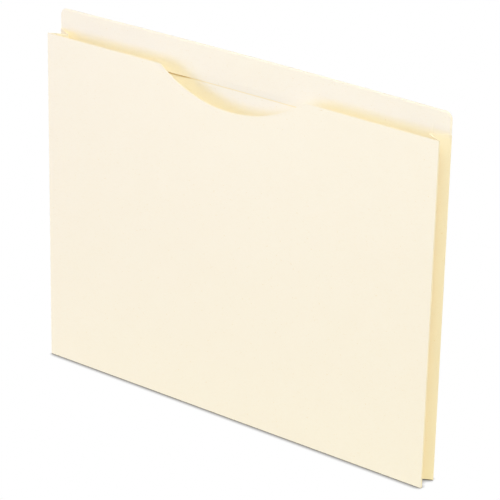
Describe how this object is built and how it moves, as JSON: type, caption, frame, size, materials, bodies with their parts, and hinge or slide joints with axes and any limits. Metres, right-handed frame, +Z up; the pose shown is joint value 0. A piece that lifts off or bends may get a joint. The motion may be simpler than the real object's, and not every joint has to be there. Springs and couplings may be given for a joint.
{
  "type": "file jacket",
  "caption": "Expanding manila file jacket with a lower front panel, thumb cut, reinforced straight tab, folded side gussets and a bottom pleat, open at the top.",
  "frame": {"origin": "middle of the base of the whole jacket, on the surface that it stands on", "axes": "+X to the right along the width, as seen from the front; +Y from the front panel to the back panel; +Z up"},
  "size_m": [0.2984, 0.0136, 0.2413],
  "materials": {
    "manila_panel": "matte",
    "manila_gusset": "matte",
    "glue": "satin"
  },
  "bodies": {
    "back": {"back_panel": "manila_panel", "tab_ply": "manila_panel", "tab_glue": "glue"},
    "right_rear_half": {"right_gusset_rear": "manila_gusset"},
    "right_front_half": {"right_gusset_front": "manila_gusset"},
    "front": {"front_panel": "manila_panel", "left_glue_flap": "manila_gusset", "left_glue_line": "glue", "right_glue_flap": "manila_gusset", "right_glue_line": "glue"},
    "left_rear_half": {"left_gusset_rear": "manila_gusset"},
    "left_front_half": {"left_gusset_front": "manila_gusset"},
    "pleat_rear_half": {"bottom_pleat_rear": "manila_gusset"},
    "pleat_front_half": {"bottom_pleat_front": "manila_gusset"}
  },
  "joints": [
    {"name": "right_back_fold", "type": "hinge", "parent": "back", "child": "right_rear_half", "pos_m": [0.14922, 0.00657, 0.1], "axis": [0, 0, 1], "range_deg": [-27, 59]},
    {"name": "right_valley_fold", "type": "hinge", "parent": "right_rear_half", "child": "right_front_half", "pos_m": [0.13825, 0.00016, 0.1], "axis": [0, 0, -1], "range_deg": [-54, 118]},
    {"name": "right_front_fold", "type": "hinge", "parent": "right_front_half", "child": "front", "pos_m": [0.14922, -0.00624, 0.1], "axis": [0, 0, 1], "range_deg": [-27, 59]},
    {"name": "left_back_fold", "type": "hinge", "parent": "back", "child": "left_rear_half", "pos_m": [-0.14922, 0.00657, 0.1], "axis": [0, 0, -1], "range_deg": [-27, 59]},
    {"name": "left_valley_fold", "type": "hinge", "parent": "left_rear_half", "child": "left_front_half", "pos_m": [-0.13825, 0.00016, 0.1], "axis": [0, 0, 1], "range_deg": [-54, 118]},
    {"name": "bottom_back_fold", "type": "hinge", "parent": "back", "child": "pleat_rear_half", "pos_m": [0, 0.00657, 0.00028], "axis": [1, 0, 0], "range_deg": [-27, 59]},
    {"name": "bottom_ridge_fold", "type": "hinge", "parent": "pleat_rear_half", "child": "pleat_front_half", "pos_m": [0, 0.00016, 0.01125], "axis": [-1, 0, 0], "range_deg": [-54, 118]}
  ],
  "couplings": [
    {"joint": "right_valley_fold", "follows": "right_back_fold", "ratio": 2},
    {"joint": "right_front_fold", "follows": "right_back_fold", "ratio": 1},
    {"joint": "left_back_fold", "follows": "right_back_fold", "ratio": 1},
    {"joint": "left_valley_fold", "follows": "right_back_fold", "ratio": 2},
    {"joint": "bottom_back_fold", "follows": "right_back_fold", "ratio": 1},
    {"joint": "bottom_ridge_fold", "follows": "right_back_fold", "ratio": 2}
  ]
}
